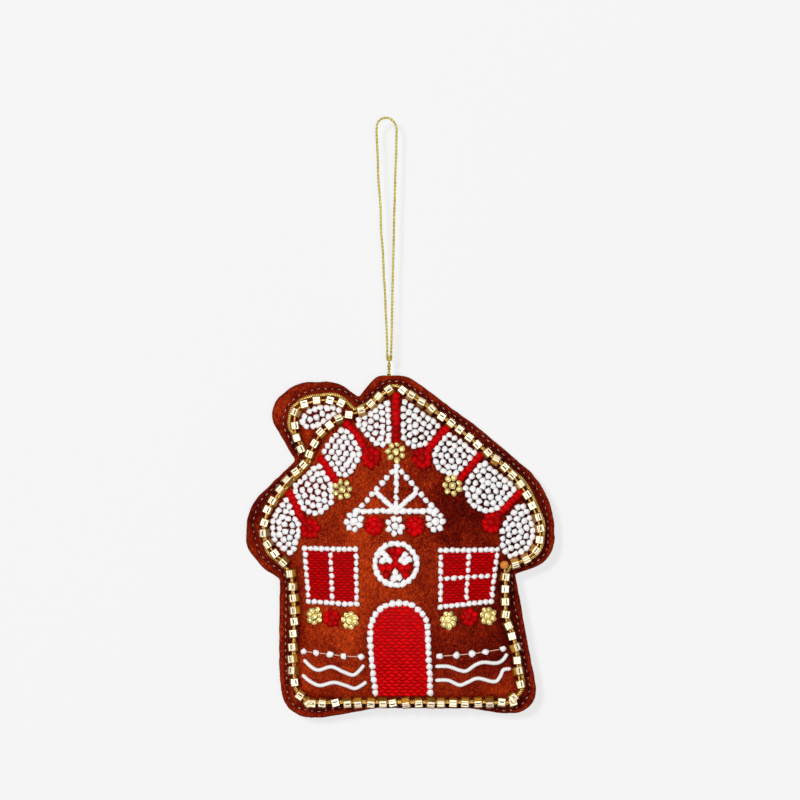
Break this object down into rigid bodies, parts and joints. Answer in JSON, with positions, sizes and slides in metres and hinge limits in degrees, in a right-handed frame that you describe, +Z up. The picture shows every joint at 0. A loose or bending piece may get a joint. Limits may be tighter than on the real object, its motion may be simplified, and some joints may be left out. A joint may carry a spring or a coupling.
{
  "type": "hanging christmas ornament",
  "caption": "Padded felt gingerbread house tree ornament with stitched icing, windows and door, a border of cube beads over a couched cord, and a long metallic hanging loop.",
  "frame": {"origin": "underside of the hanging loop's crest, where the hook or branch carries it", "axes": "+Z up along the loop, +X to the viewer's right, the embroidered front faces -Y"},
  "size_m": [0.1027, 0.0206, 0.2003],
  "materials": {
    "felt": "brushed nap, mottled orange brown to deep maroon",
    "polyester_fill": "loose fibre fill",
    "seam_thread": "fine shiny sewing thread",
    "gold_cord": "twisted metallic embroidery cord",
    "loop_cord": "twisted metallic cord",
    "lined_glass": "clear glass cubes lined with pale gold",
    "white_thread": "glossy stranded rayon knots",
    "red_thread": "glossy stranded rayon",
    "gold_thread": "metallic thread knots"
  },
  "bodies": {
    "loop": {"hanging_loop": "loop_cord"},
    "whipping": {"loop_whipping": "loop_cord"},
    "neck": {"loop_neck": "loop_cord"},
    "house": {"back_panel": "felt", "front_panel": "felt", "stuffing": "polyester_fill", "seam_thread_back": "seam_thread", "seam_thread_front": "seam_thread", "edge_cord": "gold_cord", "loop_tail": "loop_cord", "bead_strand_base": "lined_glass", "bead_strand_chimney": "lined_glass", "bead_strand_roof_left": "lined_glass", "bead_strand_roof_right": "lined_glass", "bead_strand_wall_left": "lined_glass", "bead_strand_wall_right": "lined_glass", "chimney_snow": "white_thread", "door_border": "white_thread", "gable_rosette_middle": "white_thread", "gable_trim": "white_thread", "garland_left": "white_thread", "garland_right": "white_thread", "icing_scallop_left_1": "white_thread", "icing_scallop_left_2": "white_thread", "icing_scallop_left_3": "white_thread", "icing_scallop_left_4": "white_thread", "icing_scallop_right_1": "white_thread", "icing_scallop_right_2": "white_thread", "icing_scallop_right_3": "white_thread", "icing_scallop_right_4": "white_thread", "icing_wave_left_lower": "white_thread", "icing_wave_left_upper": "white_thread", "icing_wave_right_lower": "white_thread", "icing_wave_right_upper": "white_thread", "round_window_white": "white_thread", "window_frame_left": "white_thread", "window_frame_right": "white_thread", "door_fill": "red_thread", "gable_rosette_left_red": "red_thread", "gable_rosette_right_red": "red_thread", "red_bar_centre": "red_thread", "red_bar_left_2": "red_thread", "red_bar_right_2": "red_thread", "red_drop_left_1": "red_thread", "red_drop_left_3": "red_thread", "red_drop_right_1": "red_thread", "red_drop_right_3": "red_thread", "round_window_red": "red_thread", "sill_rosette_left_2": "red_thread", "sill_rosette_right_2": "red_thread", "window_fill_left": "red_thread", "window_fill_right": "red_thread", "gold_rosette_centre": "gold_thread", "gold_rosette_left_2": "gold_thread", "gold_rosette_right_2": "gold_thread", "sill_rosette_left_1": "gold_thread", "sill_rosette_left_3": "gold_thread", "sill_rosette_right_1": "gold_thread", "sill_rosette_right_3": "gold_thread"}
  },
  "joints": [
    {"name": "twist", "type": "hinge", "parent": "loop", "child": "whipping", "pos_m": [0.0006, 0, -0.0783], "axis": [0, 0, 1], "range_deg": [-180, 180]},
    {"name": "front_back_swing", "type": "hinge", "parent": "whipping", "child": "neck", "pos_m": [0.0006, 0, -0.0813], "axis": [1, 0, 0], "range_deg": [-90, 90]},
    {"name": "side_sway", "type": "hinge", "parent": "neck", "child": "house", "pos_m": [0.0006, 0, -0.0836], "axis": [0, 1, 0], "range_deg": [-75, 75]}
  ]
}
